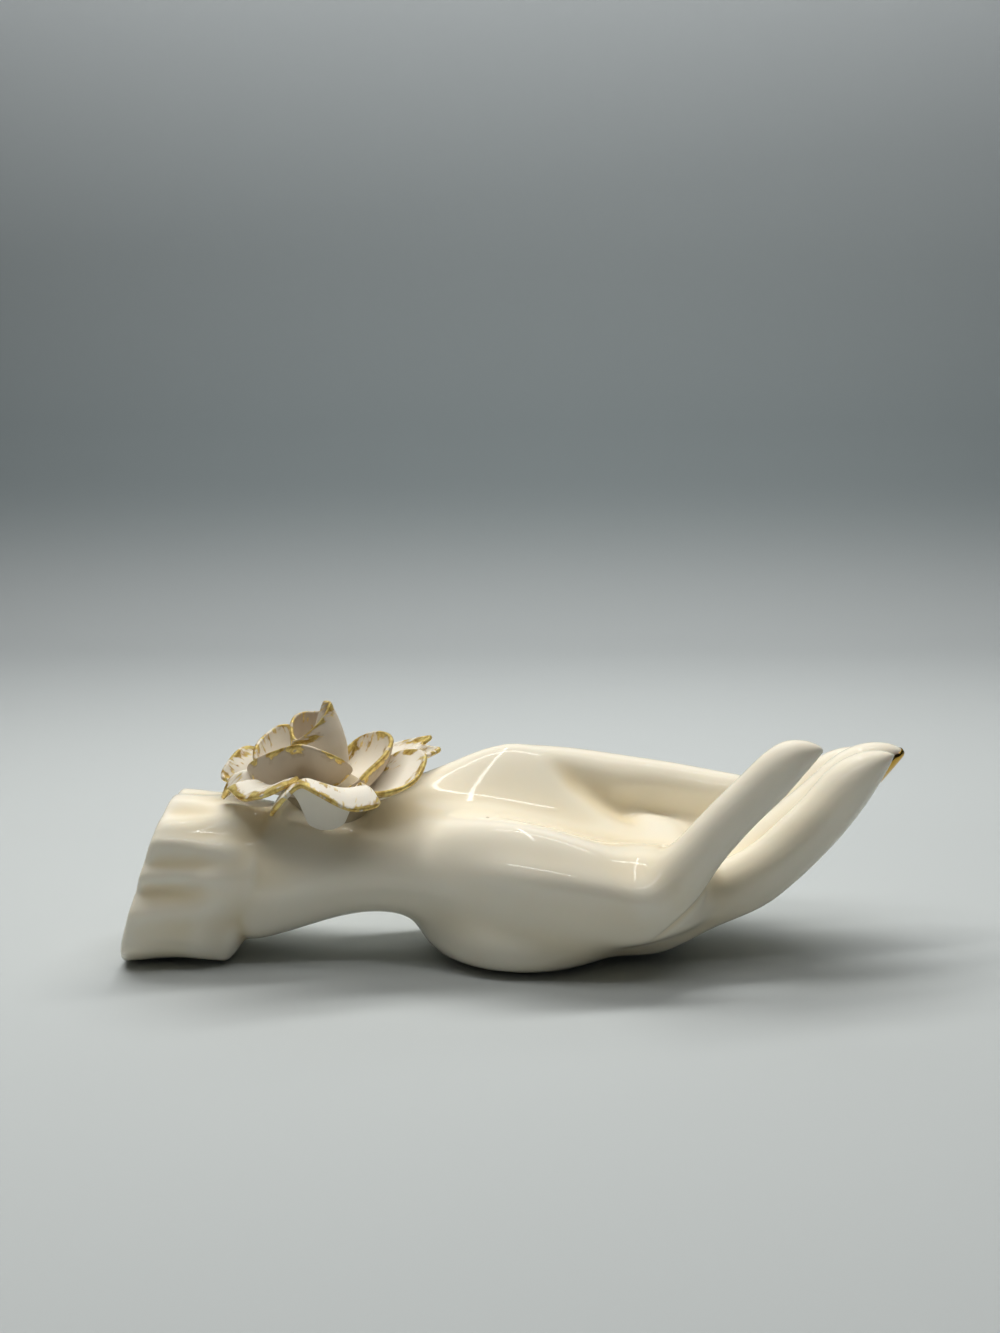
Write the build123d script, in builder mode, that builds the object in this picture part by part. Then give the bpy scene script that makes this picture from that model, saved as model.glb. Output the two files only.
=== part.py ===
from build123d import *
from math import copysign, cos, pi, radians, sin, sqrt, tau
from typing import NamedTuple
import os

os.makedirs("parts", exist_ok=True)

# A glazed ceramic hand lying palm up as a small dish, with a ruffled cuff and a hand-built
# rose on the wrist. Millimetres and degrees. X runs from the cuff to the fingertips, Y from
# the little finger's side to the thumb's side and Z up. The origin is the middle of the
# foot's flat face, on the table.

# The cast wall
WALL = 4.0

# The foot, a flattened bowl under the palm
FOOT_RADIUS = 20.5
FOOT_SHOULDER_RADIUS = 32.0
FOOT_SHOULDER_HEIGHT = 12.0
FOOT_TOP = 13.0

# The forearm and wrist, round sections
GATHER_X = -79.0
FOREARM_WIDTH = 44.0
FOREARM_HEIGHT = 39.0
FOREARM_LIFT = 5.0
SEAT_X = -57.0
SEAT_WIDTH = 44.0
SEAT_HEIGHT = 34.5
SEAT_LIFT = 9.0
WRIST_X = -37.0
WRIST_WIDTH = 46.0
WRIST_HEIGHT = 30.0
WRIST_LIFT = 12.5

# The palm, cupped sections between its heel and the knuckles
HEEL_X = -18.0
PALM_X = 2.0
DISH_X = 20.0
PADS_X = 35.0
KNUCKLE_X = 52.0
PALM_NEAR = 36.0
PALM_FAR = 36.0
PALM_LIFT = 4.5
KNUCKLE_LIFT = 1.5
HYPOTHENAR_HEIGHT = 42.5
THENAR_HEIGHT = 56.5
DISH_FLOOR = 33.5
KNUCKLE_TILT = 20.0

# The cuff, a ruffled sleeve butted against the forearm
CUFF_LENGTH = 29.0
CUFF_TILT = 17.0
CUFF_WIDTH = 50.0
CUFF_HEIGHT = 50.0
CUFF_LIFT = 0.3
CUFF_SQUARENESS = 2.4
CUFF_WALL = 3.4
RUFFLES = 15
RUFFLE_DEPTH = 1.5

# The digits: where each knuckle's back lies on the palm
LITTLE_KNUCKLE = (KNUCKLE_X - 19.0, 8.0 - PALM_NEAR, KNUCKLE_LIFT + 9.0)
RING_KNUCKLE = (KNUCKLE_X - 15.5, -PALM_NEAR / 3, KNUCKLE_LIFT + 0.3)
MIDDLE_KNUCKLE = (KNUCKLE_X - 14.0, PALM_FAR / 9, KNUCKLE_LIFT + 0.7)
INDEX_KNUCKLE = (KNUCKLE_X - 15.0, PALM_FAR * 5 / 9, KNUCKLE_LIFT + 1.5)
THUMB_KNUCKLE = (PALM_X + 12.0, PALM_FAR + 3.0, THENAR_HEIGHT - 9.3)
NAIL_THICKNESS = 0.5
NAIL_LENGTH = 14.0
NAIL_WIDTH_SHARE = 0.8

# The rose, seated on the forearm
RECEPTACLE_RADIUS = 12.0
RECEPTACLE_HEIGHT = 9.0
BUD_RADIUS = 7.0
BUD_FOOT_RADIUS = 5.0
BUD_BELLY_HEIGHT = 14.0
BUD_TIP_HEIGHT = 30.0
PETAL_THICKNESS = 1.3
PETAL_CLEARANCE = 0.9


class Station(NamedTuple):
    """One cross-section of the hand, as heights over the table and half-widths."""

    x: float
    back: float
    near: float
    far: float
    side: float
    near_rim: float
    floor: float
    far_rim: float
    tilt: float = 0.0
    near_lift: float = 0.0


def round_station(x, width, height, lift, tilt=0.0):
    """A plain oval section, in the same terms as a palm section."""
    middle = lift + height / 2
    rim = middle + height / 2 * sin(pi / 4)
    return Station(x, lift, width / 2, width / 2, middle, rim, lift + height, rim, tilt)


def station_plane(station):
    """The plane of a section, leaned about its middle height."""
    lean = radians(station.tilt)
    return Plane((station.x, 0, station.side), x_dir=(0, 1, 0), z_dir=(cos(lean), 0, -sin(lean)))


def station_points(station, inset):
    """Eight points around a section, each moved in from the outside by inset."""
    corner = sin(pi / 4)
    low = station.side - (station.side - station.back - inset) * corner
    near = station.near - inset
    far = station.far - inset
    loop = [
        (0, station.back + inset),
        (-near * corner, low + station.near_lift),
        (-near, station.side),
        (-near * corner, station.near_rim - inset * corner),
        (0, station.floor - inset),
        (far * corner, station.far_rim - inset * corner),
        (far, station.side),
        (far * corner, low),
    ]
    return [(y, z - station.side) for y, z in loop]


def closed_face(plane, points):
    """A face bounded by one smooth closed chain of curves through points on a plane."""
    knots = [Vector(*point) for point in points]
    count = len(knots)
    with BuildSketch(plane) as section:
        with BuildLine():
            for i in range(count):
                before, start = knots[i - 1], knots[i]
                end, after = knots[(i + 1) % count], knots[(i + 2) % count]
                Bezier(start, start + (end - before) / 6, end - (after - start) / 6, end)
        make_face()
    return section.sketch.face()


def hand_sections(stations, inset=0.0):
    """The hand's section faces, shrunk by inset."""
    return [closed_face(station_plane(each), station_points(each, inset)) for each in stations]


STATIONS = [
    round_station(GATHER_X, FOREARM_WIDTH, FOREARM_HEIGHT, FOREARM_LIFT, CUFF_TILT),
    round_station(SEAT_X, SEAT_WIDTH, SEAT_HEIGHT, SEAT_LIFT, CUFF_TILT / 2),
    round_station(WRIST_X, WRIST_WIDTH, WRIST_HEIGHT, WRIST_LIFT)._replace(far_rim=THENAR_HEIGHT - 9.0),
    Station(
        HEEL_X, WRIST_LIFT - 4.0, PALM_NEAR - 7.0, PALM_FAR - 6.0, 26.0,
        HYPOTHENAR_HEIGHT - 0.5, DISH_FLOOR + 9.5, THENAR_HEIGHT - 2.5,
    ),
    Station(
        PALM_X, PALM_LIFT, PALM_NEAR, PALM_FAR, 24.0,
        HYPOTHENAR_HEIGHT, DISH_FLOOR + 5.5, THENAR_HEIGHT,
    ),
    Station(
        DISH_X, PALM_LIFT - 1.5, PALM_NEAR + 1.0, PALM_FAR, 20.0,
        HYPOTHENAR_HEIGHT - 5.0, DISH_FLOOR, THENAR_HEIGHT - 12.0, 0.0, 1.0,
    ),
    Station(
        PADS_X, KNUCKLE_LIFT, PALM_NEAR - 1.0, PALM_FAR - 4.0, 18.0,
        DISH_FLOOR - 0.5, DISH_FLOOR - 2.5, DISH_FLOOR + 2.0, -KNUCKLE_TILT / 3, 4.0,
    ),
    Station(
        KNUCKLE_X, KNUCKLE_LIFT + 10.0, PALM_NEAR - 15.0, PALM_FAR - 8.0, 21.0,
        DISH_FLOOR - 3.5, DISH_FLOOR - 3.0, DISH_FLOOR - 3.0, -KNUCKLE_TILT,
    ),
]

# The hand without its hollow, used to trim what sits on it
with BuildPart() as hand_body:
    loft(hand_sections(STATIONS))

with BuildPart() as palm_and_wrist:
    loft(hand_sections(STATIONS))
    loft(hand_sections(STATIONS[:-1], WALL), mode=Mode.SUBTRACT)

palm_and_wrist.part.label = "palm_and_wrist"
export_step(palm_and_wrist.part, "parts/palm_and_wrist.step")

# The cuff's sections lie in the forearm's leaning end plane, dropped so that the rim just
# clears the table
CUFF_MIDDLE = FOREARM_LIFT + FOREARM_HEIGHT / 2
CUFF_DROP = (CUFF_MIDDLE - CUFF_LIFT) / cos(radians(CUFF_TILT)) - CUFF_HEIGHT / 2
CUFF_TOP = CUFF_MIDDLE + (CUFF_HEIGHT / 2 - CUFF_DROP) * cos(radians(CUFF_TILT))


def cuff_plane(along):
    lean = radians(CUFF_TILT)
    x = GATHER_X - CUFF_LENGTH * along
    return Plane((x, 0, CUFF_MIDDLE), x_dir=(0, 1, 0), z_dir=(cos(lean), 0, -sin(lean)))


def squared(share):
    """A share of a half-width, pushed out to flatten an oval's sides."""
    return copysign(abs(share) ** (2 / CUFF_SQUARENESS), share)


def ruffle_points(half_width, half_height, along):
    """Crests and valleys round the cuff, fading out of step from its two ends."""
    points = []
    for step in range(2 * RUFFLES):
        angle = tau * step / (2 * RUFFLES)
        crest = 1 if step % 2 else -1
        wave = RUFFLE_DEPTH * crest * (along - 0.6 * (1 - along))
        across = (half_width + wave) * squared(cos(angle))
        up = (half_height + wave) * squared(sin(angle)) - CUFF_DROP
        points.append((across, up))
    return points


def cuff_section(along, bulge):
    half_width = CUFF_WIDTH / 2 + bulge - RUFFLE_DEPTH
    half_height = CUFF_HEIGHT / 2 + bulge - RUFFLE_DEPTH
    return closed_face(cuff_plane(along), ruffle_points(half_width, half_height, along))


def oval_face(plane, half_width, half_height):
    with BuildSketch(plane) as section:
        Ellipse(half_width, half_height)
    return section.sketch.face()


# How far the cuff swells beyond its plain oval, from the gather to the rim
CUFF_SWELL = {0.0: -1.0, 0.12: 0.0, 0.5: -0.2, 0.85: 0.0, 1.0: 0.0}

with BuildPart() as ruffled_cuff:
    loft([cuff_section(along, bulge) for along, bulge in CUFF_SWELL.items()])
    bore = (FOREARM_WIDTH / 2 - WALL, FOREARM_HEIGHT / 2 - WALL)
    rim_inset = CUFF_WALL + 2 * RUFFLE_DEPTH
    rim = (CUFF_WIDTH / 2 - rim_inset, CUFF_HEIGHT / 2 - rim_inset)
    loft(
        [
            oval_face(cuff_plane(0.0), *bore),
            oval_face(cuff_plane(0.4), *bore),
            oval_face(cuff_plane(1.0), *rim),
        ],
        mode=Mode.SUBTRACT,
    )

ruffled_cuff.part.label = "ruffled_cuff"
export_step(ruffled_cuff.part, "parts/ruffled_cuff.step")


class Digit(NamedTuple):
    """A finger as the line along its back, with its sizes at root, joint and end."""

    knuckle: tuple
    lengths: tuple
    pitches: tuple
    yaws: tuple
    thickness: tuple
    width: tuple
    root: tuple
    across: tuple = (0, 1, 0)


def back_line(digit):
    """The curve along a digit's back, from inside the palm to the tip."""
    headings = [
        Vector(cos(radians(pitch)) * cos(radians(yaw)), cos(radians(pitch)) * sin(radians(yaw)),
               sin(radians(pitch)))
        for pitch, yaw in zip(digit.pitches, digit.yaws)
    ]
    knuckle = Vector(*digit.knuckle)
    points = [knuckle + Vector(*digit.root), knuckle]
    for length, heading in zip(digit.lengths, headings):
        points.append(points[-1] + heading * length)
    return Edge.make_spline(points)


def digit_size(sizes, along):
    """A size at a share of the back line, rounded off over the fingertip."""
    root, joint, end = sizes
    plain = root + (joint - root) * max(0.0, along - ROOT_SHARE) / (JOINT_SHARE - ROOT_SHARE)
    if along > JOINT_SHARE:
        plain = joint + (end - joint) * (along - JOINT_SHARE) / (1 - JOINT_SHARE)
    if along > PAD_SHARE:
        plain *= sqrt(1 - ((along - PAD_SHARE) / (1 - PAD_SHARE)) ** 2)
    return plain


def digit_plane(line, along, across):
    """A section plane on the back line: x across the digit and y towards its palm side."""
    return Plane(line @ along, x_dir=across, z_dir=line % along)


# Shares of the back line: the sections, the end of the root, the middle joint and where
# the fingertip rounds off
DIGIT_STEPS = (0.0, 0.14, 0.3, 0.45, 0.58, 0.7, 0.84, 0.92, 0.965, 0.989, 0.998)
ROOT_SHARE = 0.28
JOINT_SHARE = 0.58
PAD_SHARE = 0.84


def digit_body(digit, grow=0.0):
    """The whole digit, its section half-sizes enlarged by grow."""
    line = back_line(digit)
    sections = []
    for along in DIGIT_STEPS:
        plane = digit_plane(line, along, digit.across)
        half_thickness = digit_size(digit.thickness, along) / 2
        half_width = digit_size(digit.width, along) / 2
        centre = plane.origin + plane.y_dir * half_thickness
        middle = Plane(centre, x_dir=plane.x_dir, z_dir=plane.z_dir)
        sections.append(oval_face(middle, half_width + grow, half_thickness + grow))
    with BuildPart() as body:
        loft(sections)
    return body.part


DIGITS = {
    "little_finger": Digit(
        LITTLE_KNUCKLE, (30, 20, 22), (48, 50, 50), (0, 1, 2), (18, 14.5, 12.5), (16.5, 14, 12),
        (-14, 3, 4),
    ),
    "ring_finger": Digit(
        RING_KNUCKLE, (41, 28, 22), (28, 47, 59), (0, 0, 2), (22, 16, 13.5), (17, 16, 13.5),
        (-16, 0, 2),
    ),
    "middle_finger": Digit(
        MIDDLE_KNUCKLE, (42, 28, 22.5), (28, 43, 49), (0, 0, 0), (22.5, 16.5, 14), (17, 16.5, 14),
        (-18, 0, 3),
    ),
    "index_finger": Digit(
        INDEX_KNUCKLE, (40, 26, 22), (26, 40, 46), (0, 0, -4), (22, 16, 13.5), (17, 16, 13.5),
        (-16, 0, 5),
    ),
    "thumb": Digit(
        THUMB_KNUCKLE, (22, 21, 22), (-8, -7, -7), (4, -6, -20), (21, 18, 15.5), (23, 21.5, 18),
        (-18, -5, 2), (0, -0.4, 0.9),
    ),
}

# Each digit is luted to the hand and to the neighbour named after it
LUTED_TO = {
    "middle_finger": (),
    "ring_finger": ("middle_finger",),
    "index_finger": ("middle_finger",),
    "little_finger": ("ring_finger",),
    "thumb": ("index_finger",),
}

whole_digits = {name: digit_body(digit) for name, digit in DIGITS.items()}

with BuildPart() as foot:
    with BuildSketch(Plane.XZ):
        with BuildLine():
            sole = Line((0, 0), (FOOT_RADIUS, 0))
            bowl = EllipticalCenterArc(
                (FOOT_RADIUS, FOOT_SHOULDER_HEIGHT),
                FOOT_SHOULDER_RADIUS - FOOT_RADIUS,
                FOOT_SHOULDER_HEIGHT,
                start_angle=270,
                arc_size=90,
            )
            side = Line(bowl @ 1, (FOOT_SHOULDER_RADIUS, FOOT_TOP))
            Polyline(side @ 1, (0, FOOT_TOP), (0, 0))
        make_face()
    revolve(axis=Axis.Z)
    add(hand_body.part, mode=Mode.SUBTRACT)
    for digit_part in whole_digits.values():
        add(digit_part, mode=Mode.SUBTRACT)

foot.part.label = "foot"
export_step(foot.part, "parts/foot.step")

for name, neighbours in LUTED_TO.items():
    with BuildPart() as trimmed:
        add(whole_digits[name])
        add(hand_body.part, mode=Mode.SUBTRACT)
        for neighbour in neighbours:
            add(whole_digits[neighbour], mode=Mode.SUBTRACT)
    trimmed.part.label = name
    export_step(trimmed.part, f"parts/{name}.step")


def nail_plane(digit):
    """A plane on the back of the fingertip, x along the digit and z outward."""
    line = back_line(digit)
    along = 1 - NAIL_LENGTH / 2 / line.length
    section = digit_plane(line, along, digit.across)
    return Plane(section.origin, x_dir=section.z_dir, z_dir=-section.y_dir)


for name, digit in DIGITS.items():
    with BuildPart() as nail:
        with BuildSketch(nail_plane(digit)):
            Ellipse(NAIL_LENGTH / 2, digit.width[2] * NAIL_WIDTH_SHARE / 2)
        extrude(amount=digit.thickness[2] / 3, both=True)
        add(digit_body(digit, NAIL_THICKNESS), mode=Mode.INTERSECT)
        add(whole_digits[name], mode=Mode.SUBTRACT)
        for neighbour in LUTED_TO[name]:
            add(whole_digits[neighbour], mode=Mode.SUBTRACT)
    nail_name = name.replace("_finger", "") + "_nail"
    nail.part.label = nail_name
    export_step(nail.part, f"parts/{nail_name}.step")


# The rose stands on the top of the forearm at the seat section
ROSE_FOOT = Vector(SEAT_X, 0, SEAT_LIFT + SEAT_HEIGHT)
ROSE_UPRIGHT = Plane(ROSE_FOOT, x_dir=(1, 0, 0), z_dir=(0, -1, 0))
ROSE_AXIS = Axis(ROSE_FOOT, (0, 0, 1))

with BuildPart() as rose_receptacle:
    with BuildSketch(ROSE_UPRIGHT):
        with BuildLine():
            Polyline(
                (BUD_FOOT_RADIUS, RECEPTACLE_HEIGHT),
                (0, RECEPTACLE_HEIGHT),
                (0, -RECEPTACLE_HEIGHT),
                (RECEPTACLE_RADIUS, -RECEPTACLE_HEIGHT),
                (RECEPTACLE_RADIUS, 0),
            )
            Bezier(
                (RECEPTACLE_RADIUS, 0),
                (RECEPTACLE_RADIUS, RECEPTACLE_HEIGHT * 0.7),
                (BUD_FOOT_RADIUS, RECEPTACLE_HEIGHT),
            )
        make_face()
    revolve(axis=ROSE_AXIS)
    add(hand_body.part, mode=Mode.SUBTRACT)

rose_receptacle.part.label = "rose_receptacle"
export_step(rose_receptacle.part, "parts/rose_receptacle.step")

with BuildPart() as rose_bud:
    with BuildSketch(ROSE_UPRIGHT):
        with BuildLine():
            Bezier(
                (BUD_FOOT_RADIUS, RECEPTACLE_HEIGHT),
                (BUD_RADIUS * 1.3, BUD_BELLY_HEIGHT),
                (BUD_RADIUS * 0.9, BUD_BELLY_HEIGHT * 1.5),
                (0, BUD_TIP_HEIGHT),
            )
            Polyline((0, BUD_TIP_HEIGHT), (0, RECEPTACLE_HEIGHT), (BUD_FOOT_RADIUS, RECEPTACLE_HEIGHT))
        make_face()
    revolve(axis=ROSE_AXIS)

rose_bud.part.label = "rose_bud"
export_step(rose_bud.part, "parts/rose_bud.step")


class Petal(NamedTuple):
    """A petal by bearing and half-spread, with radius and height at its foot and edge."""

    bearing: float
    spread: float
    foot: tuple
    edge: tuple
    belly: float = 0.0
    rounding: float = 0.2
    droop: tuple = (0.0, 0.0)
    notch: float = 0.0


PETAL_GRID = 9


def petal_point(petal, across, along):
    """A point on a petal, across from -1 to 1 and along from 0 at its foot to 1."""
    cleft = petal.notch * max(0.0, 1 - abs(across) / 0.5)
    reach = along * (1 - petal.rounding * across**2 - cleft)
    radius = petal.foot[0] + (petal.edge[0] - petal.foot[0]) * reach
    climb = reach - petal.belly * sin(pi * reach)
    droop = petal.droop[0] if across < 0 else petal.droop[1]
    height = petal.foot[1] + (petal.edge[1] - petal.foot[1]) * climb - droop * across**2 * along
    angle = radians(petal.bearing + petal.spread * across * (0.5 + 0.5 * along))
    return ROSE_FOOT + Vector(radius * cos(angle), radius * sin(angle), height)


def petal_surface(petal):
    steps = [step / (PETAL_GRID - 1) for step in range(PETAL_GRID)]
    return Face.make_surface_from_array_of_points(
        [[petal_point(petal, 2 * a - 1, along) for a in steps] for along in steps]
    )


# The left petals clear the cuff: the front one lies just over it
OVER_CUFF = CUFF_TOP + PETAL_CLEARANCE - ROSE_FOOT.Z

PETALS = {
    "rose_bud_wrap": Petal(165, 70, (5.5, 7), (11.5, 24), 0.1, 0.25),
    "rose_petal_inner_left": Petal(150, 50, (6.5, 5), (20, 19), 0.15),
    "rose_petal_inner_front": Petal(-100, 55, (6.5, 5), (18, 17), 0.15),
    "rose_petal_inner_right": Petal(25, 52, (6.5, 5), (18, 18), 0.15),
    "rose_petal_outer_front": Petal(-84, 38, (7, 2.5), (30, 7), -0.2, 0.15, (5, 2)),
    "rose_petal_outer_front_left": Petal(-146, 20, (7, 2.5), (33, OVER_CUFF), -0.12, 0.15),
    "rose_petal_outer_left": Petal(165, 26, (7, 3), (31, OVER_CUFF + 6.5), 0.12, 0.2),
    "rose_petal_outer_back": Petal(108, 27, (7, 3), (29, 9), 0.1, 0.2),
    "rose_petal_outer_back_right": Petal(44, 21, (7, 3), (37, 16), 0.15, 0.15, (0, 0), 0.2),
    "rose_petal_outer_right": Petal(-11, 28, (7.5, 3), (28, 9.5), 0.2, 0.2),
}

for name, petal in PETALS.items():
    with BuildPart() as blade:
        thicken(petal_surface(petal), PETAL_THICKNESS)
        add(rose_receptacle.part, mode=Mode.SUBTRACT)
        add(rose_bud.part, mode=Mode.SUBTRACT)
        add(hand_body.part, mode=Mode.SUBTRACT)
        add(ruffled_cuff.part, mode=Mode.SUBTRACT)
    blade.part.label = name
    export_step(blade.part, f"parts/{name}.step")
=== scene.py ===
# %% [markdown]
# # A glazed ceramic hand with a rose
# This small trinket dish is a slip-cast hand that lies palm up on a round foot. A ruffled cuff
# closes the wrist end, and a hand-built rose with gilded edges sits on the wrist. The CAD model
# gives every piece its place, so the lesson starts by loading it as a fixed frame. All looks
# are then built around that frame, in metres.

# %% Load the frame
import math

import bmesh
import bpy
import numpy as np
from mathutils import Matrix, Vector
from mathutils.bvhtree import BVHTree


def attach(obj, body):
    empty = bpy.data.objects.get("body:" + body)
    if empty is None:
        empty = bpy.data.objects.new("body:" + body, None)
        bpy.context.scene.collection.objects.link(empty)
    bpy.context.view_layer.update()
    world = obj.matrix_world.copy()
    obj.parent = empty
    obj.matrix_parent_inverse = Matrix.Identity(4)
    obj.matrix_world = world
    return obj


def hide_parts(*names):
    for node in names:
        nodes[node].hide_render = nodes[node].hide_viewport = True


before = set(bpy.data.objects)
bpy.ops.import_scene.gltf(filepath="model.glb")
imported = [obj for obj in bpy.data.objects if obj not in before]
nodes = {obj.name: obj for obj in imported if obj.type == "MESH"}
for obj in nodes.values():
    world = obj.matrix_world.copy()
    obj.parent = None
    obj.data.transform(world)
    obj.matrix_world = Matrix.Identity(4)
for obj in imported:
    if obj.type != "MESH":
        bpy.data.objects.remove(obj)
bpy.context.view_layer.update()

MM = 0.001

# %% [markdown]
# ## Camera
# The photograph was taken from a little above the table, about 45 cm away. A long edge of the
# foot's circle on the table tells how far the camera looks down. A 54 mm lens on a 36 mm wide
# sensor gives the same perspective.

# %% Camera
CAMERA_PLACE = (-7.33, -422.71, 147.44)
LOOK_DOWN = 8.6
camera_data = bpy.data.cameras.new("photo_camera")
camera_data.sensor_fit = "HORIZONTAL"
camera_data.sensor_width = 36
camera_data.lens = 54
camera = bpy.data.objects.new("photo_camera", camera_data)
camera.location = [MM * v for v in CAMERA_PLACE]
camera.rotation_euler = (math.radians(90 - LOOK_DOWN), 0, 0)
bpy.context.scene.collection.objects.link(camera)
bpy.context.scene.camera = camera
print("camera at", [round(v, 3) for v in camera.location], "looking down by", LOOK_DOWN)

# %% [markdown]
# ## Helpers for finishes
# Colours are written as the hex values that a colour picker shows, and one function turns them
# into the linear values that shaders need. A second function adds a shader node, sets its
# options and fills its sockets, with a number or with a link from another node. Sockets that
# share a name are called by number: a colour mix takes its share on 0 and its colours on 6 and
# 7, and gives the result on output 2. A map range takes its value on 0, the range that it reads
# on 1 and 2, and the range that it gives on 3 and 4.


# %% Colour and node helpers
def linear(hexcode):
    """An sRGB hex colour as linear RGBA."""
    shares = [int(hexcode[i:i + 2], 16) / 255 for i in (1, 3, 5)]
    rgb = [s / 12.92 if s <= 0.04045 else ((s + 0.055) / 1.055) ** 2.4 for s in shares]
    return (*rgb, 1.0)


def put(tree, kind, sockets=None, **options):
    """Add a shader node, set its options, and fill its sockets with values or links."""
    made = tree.nodes.new(kind)
    for name, value in options.items():
        setattr(made, name, value)
    for name, value in (sockets or {}).items():
        if isinstance(value, bpy.types.NodeSocket):
            tree.links.new(value, made.inputs[name])
        else:
            made.inputs[name].default_value = value
    return made


def new_finish(name):
    """An empty material with its Principled shader, ready for links."""
    material = bpy.data.materials.new(name)
    material.use_nodes = True
    return material, material.node_tree, material.node_tree.nodes["Principled BSDF"]


print("helpers ready; ivory is", [round(v, 3) for v in linear("#efe6cf")])

# %% [markdown]
# ## Floor and light
# The piece stands on a pale sweep of backdrop paper, which curves up far behind it. The paper's colour
# carries painted shade: it turns darker where the paper rises into a wall and lighter again higher up,
# as light falls off on the wall. The light comes from three rows of soft panels overhead, in front of
# the piece, over it and behind it. They stay out of its reflections, because rows this long would draw
# loops of light on the glaze. Three slim strips draw the short streaks instead, and one more strip
# washes the paper's upper end.

# %% Backdrop
SWEEP_FRONT = -1.2
SWEEP_START = 0.62
SWEEP_RADIUS = 0.3
SWEEP_STEPS = 12
SWEEP_TOP = 1.6
SWEEP_HALF = 2.2
profile = [(SWEEP_FRONT, 0.0), (SWEEP_START, 0.0)]
for step in range(1, SWEEP_STEPS + 1):
    turn = math.radians(90 * step / SWEEP_STEPS)
    rise = SWEEP_RADIUS * (1 - math.cos(turn))
    profile.append((SWEEP_START + SWEEP_RADIUS * math.sin(turn), rise))
profile.append((SWEEP_START + SWEEP_RADIUS, SWEEP_TOP))
sweep_points = [(side, y, z) for y, z in profile for side in (-SWEEP_HALF, SWEEP_HALF)]
sweep_faces = [(2 * i, 2 * i + 1, 2 * i + 3, 2 * i + 2) for i in range(len(profile) - 1)]
sweep_mesh = bpy.data.meshes.new("backdrop_paper")
sweep_mesh.from_pydata(sweep_points, [], sweep_faces)
sweep_mesh.shade_smooth()
backdrop = bpy.data.objects.new("backdrop_paper", sweep_mesh)
bpy.context.scene.collection.objects.link(backdrop)
print("backdrop:", len(sweep_faces), "strips")

# %% Backdrop finish
# Paper is matt and scatters all its light; its colour is painted shade, darker up the rising wall than
# on the floor and lighter again near the top; heights are in metres
PAINTED_SHADE_FROM, PAINTED_SHADE_TO = -0.02, 0.12
PAINTED_LIGHT_FROM, PAINTED_LIGHT_TO = 0.16, 0.6
paper, tree, shader = new_finish("backdrop_paper_painted_shade")
place = put(tree, "ShaderNodeNewGeometry").outputs["Position"]
height = put(tree, "ShaderNodeSeparateXYZ", {0: place}).outputs["Z"]
painted_wall_shade = put(tree, "ShaderNodeMapRange", {0: height, 1: PAINTED_SHADE_FROM, 2: PAINTED_SHADE_TO, 3: 0.0, 4: 1.0},
          interpolation_type="SMOOTHSTEP").outputs[0]
painted_light_higher_up = put(tree, "ShaderNodeMapRange", {
    0: height, 1: PAINTED_LIGHT_FROM, 2: PAINTED_LIGHT_TO, 3: 0.0, 4: 1.0}).outputs[0]
# The wall's tone is painted shade: darkest where the paper turns up, lighter higher up
wall = put(tree, "ShaderNodeMix", {0: painted_light_higher_up, 6: linear("#8f989a"), 7: linear("#c3c8c9")},
           data_type="RGBA").outputs[2]
tone = put(tree, "ShaderNodeMix", {0: painted_wall_shade, 6: linear("#c4c9ca"), 7: wall}, data_type="RGBA").outputs[2]
tree.links.new(tone, shader.inputs["Base Color"])
shader.inputs["Roughness"].default_value = 0.75
sweep_mesh.materials.append(paper)
print("finish:", paper.name)


# %% Lights
def soft_panel(name, place, aim, size, watts, tint="#ffffff"):
    """A rectangular light at a place, turned to shine at an aim point, in metres."""
    light = bpy.data.lights.new(name, "AREA")
    light.shape = "RECTANGLE"
    light.size, light.size_y = size
    light.energy = watts
    light.color = linear(tint)[:3]
    lamp = bpy.data.objects.new(name, light)
    lamp.location = place
    lamp.rotation_euler = (Vector(aim) - Vector(place)).to_track_quat("-Z", "Y").to_euler()
    bpy.context.scene.collection.objects.link(lamp)
    return lamp


MIDDLE = (0.0, 0.0, 0.03)
ROW_SIZE = (0.9, 0.08)
ROW_TINT = "#fffdf8"
# Place and watts of each row
ROWS = {"front_row": ((-0.06, -0.18, 0.6), 1.05),
        "middle_row": ((-0.06, 0.2, 0.6), 3.8),
        "back_row": ((-0.06, 0.55, 0.5), 0.3)}
# Place above the floor, size and watts of each strip that shines straight down
GLINTS = {"dish_glint": ((0.02, 0.2), (0.016, 0.45), 0.2),
          "ridge_glint": ((0.08, 0.2), (0.45, 0.02), 0.25),
          "cuff_glint": ((-0.06, -0.28), (0.5, 0.014), 0.3)}
GLINT_HEIGHT = 0.6
for name, (place, watts) in ROWS.items():
    row = soft_panel(name, place, MIDDLE, ROW_SIZE, watts, ROW_TINT)
    row.visible_glossy = False
for name, (spot, size, watts) in GLINTS.items():
    soft_panel(name, (*spot, GLINT_HEIGHT), (*spot, 0.0), size, watts)
soft_panel("wall_strip", place=(0.0, 0.45, 1.0), aim=(0.0, 0.92, 0.85), size=(1.4, 0.1), watts=6.0)
world = bpy.data.worlds.new("studio_room")
world.use_nodes = True
world.node_tree.nodes["Background"].inputs["Color"].default_value = linear("#ccd3da")
world.node_tree.nodes["Background"].inputs["Strength"].default_value = 0.03
bpy.context.scene.world = world
bpy.context.scene.view_settings.view_transform = "Standard"

# %% [markdown]
# ## Cuff
# The cuff is a short sleeve with soft pleats. Some folds start at the open rim and die out
# towards the wrist, and others start at the gather and die out towards the rim. A cloth
# simulation could make them, but the real ones were carved in clay, so a formula for the
# radius does it: every fold has a round crest and a narrow valley. The sleeve is one closed
# band of rings, down the outside, round the rim and back through the bore.

# %% Cuff folds
FOLD_WIDTH = 17.0
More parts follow.
